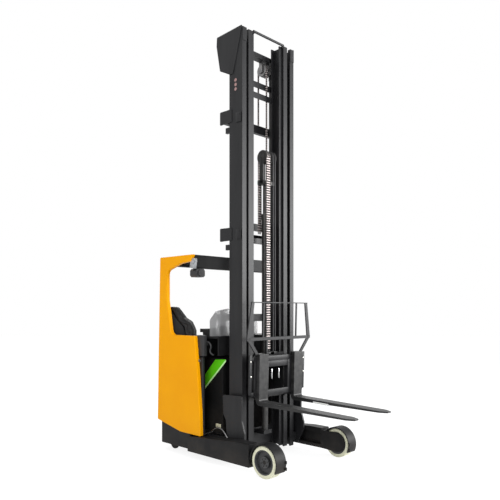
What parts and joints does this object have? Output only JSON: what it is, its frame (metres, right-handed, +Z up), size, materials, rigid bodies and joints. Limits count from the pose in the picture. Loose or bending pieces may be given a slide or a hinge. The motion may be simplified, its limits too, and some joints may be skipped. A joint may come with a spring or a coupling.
{
  "type": "reach truck",
  "caption": "Warehouse reach truck with straddle legs, reaching telescopic mast, forks with load backrest and a seated driver's place under an overhead guard.",
  "frame": {"origin": "on the floor under the middle of the truck's bounding box", "axes": "+X towards the fork tips, +Y to the left seen along the forks, +Z up"},
  "size_m": [2.5159, 1.268, 4.483],
  "materials": {
    "yellow_paint": "semi-gloss orange yellow",
    "black_paint": "satin black",
    "mast_paint": "satin dark grey",
    "grey_paint": "satin grey",
    "battery_paint": "satin black",
    "fork_steel": "worn dark paint",
    "dark_steel": "satin",
    "cast_hub": "painted casting",
    "chromed_rod": "polished",
    "roller_steel": "turned",
    "chain_steel": "oiled",
    "polyurethane": "matte cream",
    "drive_tyre": "matte",
    "floor_rubber": "ribbed",
    "seat_cloth": "woven",
    "black_plastic": "grained",
    "lamp_body": "moulded",
    "smoke_glass": "smoke tinted polycarbonate"
  },
  "bodies": {
    "chassis": {"chassis_base": "black_paint", "leg_left": "black_paint", "leg_right": "black_paint", "wheel_guard_left": "black_paint", "wheel_guard_right": "black_paint", "right_side_panel": "yellow_paint", "left_side_panel": "yellow_paint", "rear_cover": "yellow_paint", "overhead_guard": "black_paint", "side_post": "grey_paint", "floor_mat": "floor_rubber", "seat_base": "dark_steel", "seat_cushion": "seat_cloth", "seat_backrest": "seat_cloth", "armrest": "black_plastic", "steering_console": "black_plastic", "battery": "battery_paint", "battery_hood": "black_plastic", "screen": "smoke_glass", "work_lamp": "lamp_body", "reach_cylinder": "dark_steel", "drive_motor": "dark_steel"},
    "steering_wheel": {"steering_wheel": "black_plastic"},
    "load_wheel_left": {"load_tyre_left": "polyurethane", "load_hub_left": "cast_hub"},
    "load_wheel_right": {"load_tyre_right": "polyurethane", "load_hub_right": "cast_hub"},
    "drive_turret": {"drive_unit": "cast_hub"},
    "drive_wheel": {"drive_wheel": "drive_tyre"},
    "castor": {"castor_fork": "dark_steel"},
    "castor_wheel": {"castor_wheel": "drive_tyre"},
    "reach": {"reach_carriage": "mast_paint", "reach_rollers": "roller_steel", "reach_rod": "chromed_rod", "outer_mast": "mast_paint", "lift_cylinders": "dark_steel"},
    "middle_stage": {"middle_mast": "mast_paint", "lift_rods": "chromed_rod", "mast_sheaves": "roller_steel", "mast_chains": "chain_steel", "mast_chain_falls": "chain_steel"},
    "inner_stage": {"inner_mast": "mast_paint", "free_lift_cylinder": "dark_steel"},
    "chain_head": {"chain_head": "chromed_rod", "lift_chain": "chain_steel"},
    "carriage": {"lift_carriage": "mast_paint"},
    "tilting_frame": {"tilt_frame": "mast_paint"},
    "fork_carrier": {"fork_carriage": "mast_paint", "fork_left": "fork_steel", "fork_right": "fork_steel", "load_backrest": "mast_paint"}
  },
  "joints": [
    {"name": "load_wheel_left_spin", "type": "hinge", "parent": "chassis", "child": "load_wheel_left", "pos_m": [0.475, 0.571, 0.152], "axis": [0, 1, 0], "continuous": true},
    {"name": "load_wheel_right_spin", "type": "hinge", "parent": "chassis", "child": "load_wheel_right", "pos_m": [0.475, -0.571, 0.152], "axis": [0, 1, 0], "continuous": true},
    {"name": "drive_steer", "type": "hinge", "parent": "chassis", "child": "drive_turret", "pos_m": [-1.03, 0.15, 0.16], "axis": [0, 0, 1], "range_deg": [-90, 90]},
    {"name": "drive_wheel_spin", "type": "hinge", "parent": "drive_turret", "child": "drive_wheel", "pos_m": [-1.03, 0.15, 0.16], "axis": [0, 1, 0], "continuous": true},
    {"name": "castor_swivel", "type": "hinge", "parent": "chassis", "child": "castor", "pos_m": [-1.01, -0.47, 0.2], "axis": [0, 0, 1], "continuous": true},
    {"name": "castor_wheel_spin", "type": "hinge", "parent": "castor", "child": "castor_wheel", "pos_m": [-1.04, -0.47, 0.065], "axis": [0, 1, 0], "continuous": true},
    {"name": "steering_wheel_turn", "type": "hinge", "parent": "chassis", "child": "steering_wheel", "pos_m": [-0.998, 0.33, 1.07], "axis": [0, 0.4226, 0.9063], "range_deg": [-450, 450]},
    {"name": "mast_reach", "type": "slide", "parent": "chassis", "child": "reach", "axis": [1, 0, 0], "range_m": [0, 0.55]},
    {"name": "middle_stage_lift", "type": "slide", "parent": "reach", "child": "middle_stage", "axis": [0, 0, 1], "range_m": [0, 3.7]},
    {"name": "inner_stage_lift", "type": "slide", "parent": "middle_stage", "child": "inner_stage", "axis": [0, 0, 1], "range_m": [0, 3.7], "deforming": ["mast_chain_falls"]},
    {"name": "carriage_lift", "type": "slide", "parent": "inner_stage", "child": "carriage", "axis": [0, 0, 1], "range_m": [-0.53, 2.2], "deforming": ["lift_chain"]},
    {"name": "chain_head_lift", "type": "slide", "parent": "inner_stage", "child": "chain_head", "axis": [0, 0, 1], "range_m": [-0.265, 1.1]},
    {"name": "fork_tilt", "type": "hinge", "parent": "carriage", "child": "tilting_frame", "pos_m": [0.063, 0, 0.7], "axis": [0, -1, 0], "range_deg": [-1.2, 3.8]},
    {"name": "sideshift", "type": "slide", "parent": "tilting_frame", "child": "fork_carrier", "axis": [0, 1, 0], "range_m": [-0.05, 0.05]}
  ],
  "couplings": [
    {"joint": "inner_stage_lift", "follows": "middle_stage_lift", "ratio": 1},
    {"joint": "chain_head_lift", "follows": "carriage_lift", "ratio": 0.5},
    {"joint": "steering_wheel_turn", "follows": "drive_steer", "ratio": 5}
  ]
}
